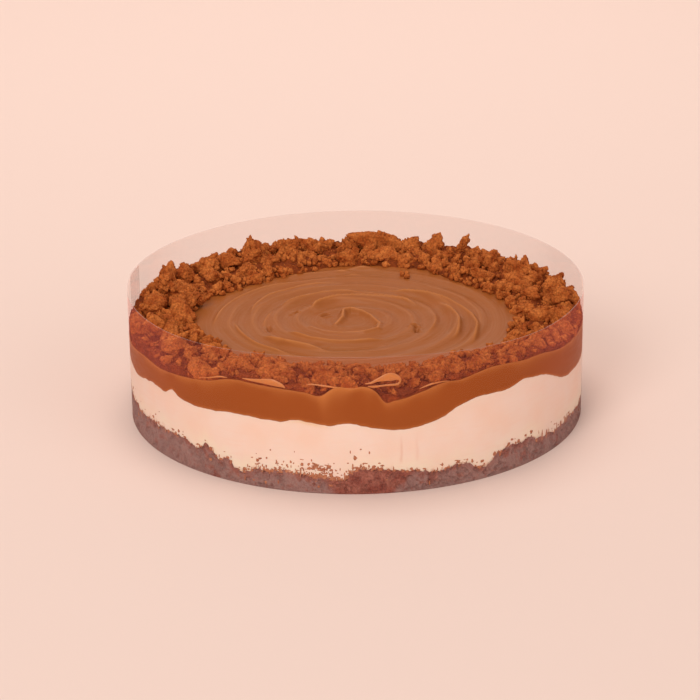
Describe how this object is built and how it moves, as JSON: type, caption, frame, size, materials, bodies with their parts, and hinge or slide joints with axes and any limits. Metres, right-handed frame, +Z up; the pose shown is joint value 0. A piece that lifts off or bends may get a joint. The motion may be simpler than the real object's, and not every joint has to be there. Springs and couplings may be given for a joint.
{
  "type": "round cheesecake in a clear collar",
  "caption": "Round layered no-bake cheesecake: biscuit base, cream, swirled caramel, a rim of cookie crumbs, in a clear film collar.",
  "frame": {"origin": "centre of the cake's underside, on the surface it stands on", "axes": "+Z up through the cake, -Y towards the front as pictured, +X to the right"},
  "size_m": [0.2289, 0.2291, 0.069],
  "materials": {
    "biscuit": "matt, pressed fine crumb",
    "cream": "smooth set cream with a soft sheen",
    "caramel": "satin, spread with a spatula",
    "crumb": "dry and rough",
    "film": "clear thin film"
  },
  "bodies": {
    "root": {"biscuit_base": "biscuit", "cream_layer": "cream", "caramel_layer": "caramel", "crumb_ring": "crumb", "clear_collar": "film"}
  },
  "joints": []
}
